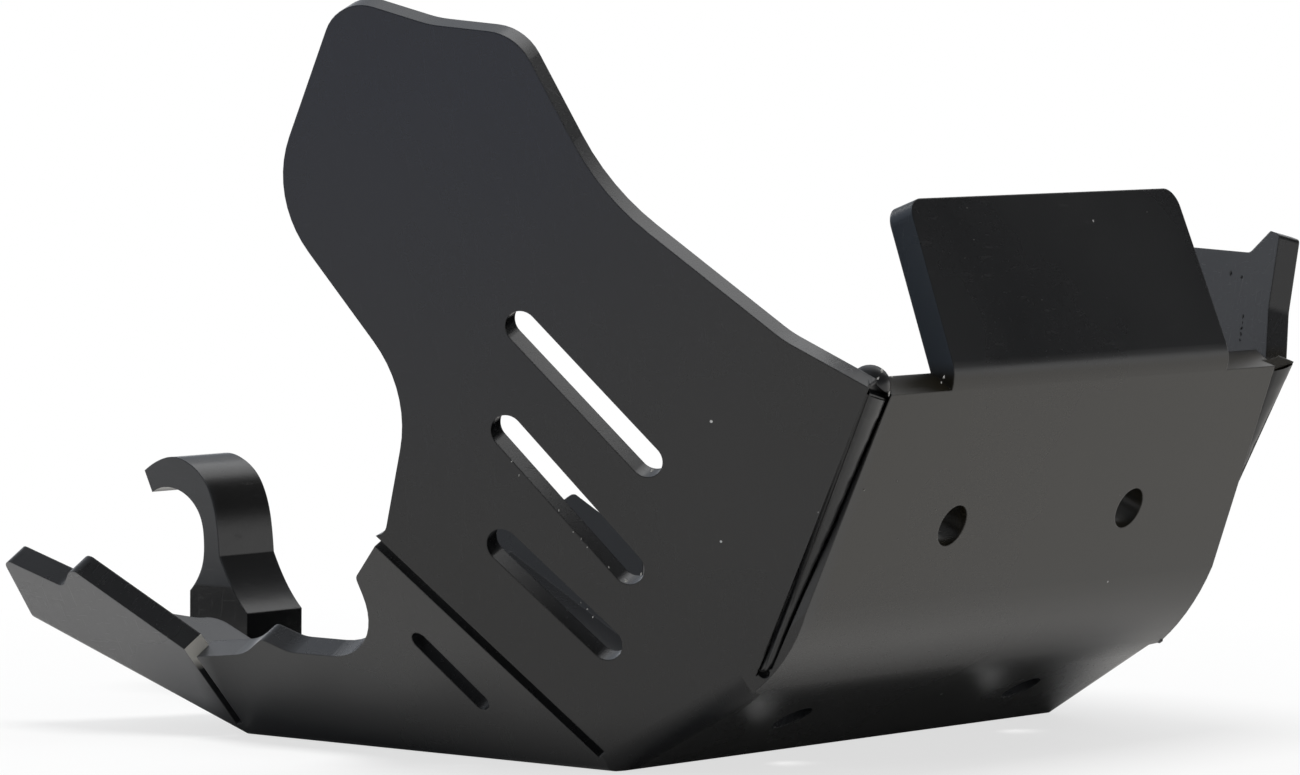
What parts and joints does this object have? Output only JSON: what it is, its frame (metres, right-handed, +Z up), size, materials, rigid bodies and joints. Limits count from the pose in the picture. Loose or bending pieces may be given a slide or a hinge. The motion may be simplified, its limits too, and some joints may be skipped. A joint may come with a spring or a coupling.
{
  "type": "motorcycle skid plate",
  "caption": "Folded black plastic plate that shields the underside of an off-road motorcycle's engine, with side wings and a rear hook for a frame tube.",
  "frame": {"origin": "middle of the flat floor panel's underside", "axes": "+Z up, -Y towards the front of the motorcycle, +X towards its left side"},
  "size_m": [0.3245, 0.3417, 0.2147],
  "materials": {
    "plate_plastic": "satin black sheet with a faint grain",
    "hook_plastic": "machined satin black block",
    "screw_steel": "plated steel"
  },
  "bodies": {
    "root": {"skid_plate": "plate_plastic", "tube_hook": "hook_plastic", "hook_screws": "screw_steel"}
  },
  "joints": []
}
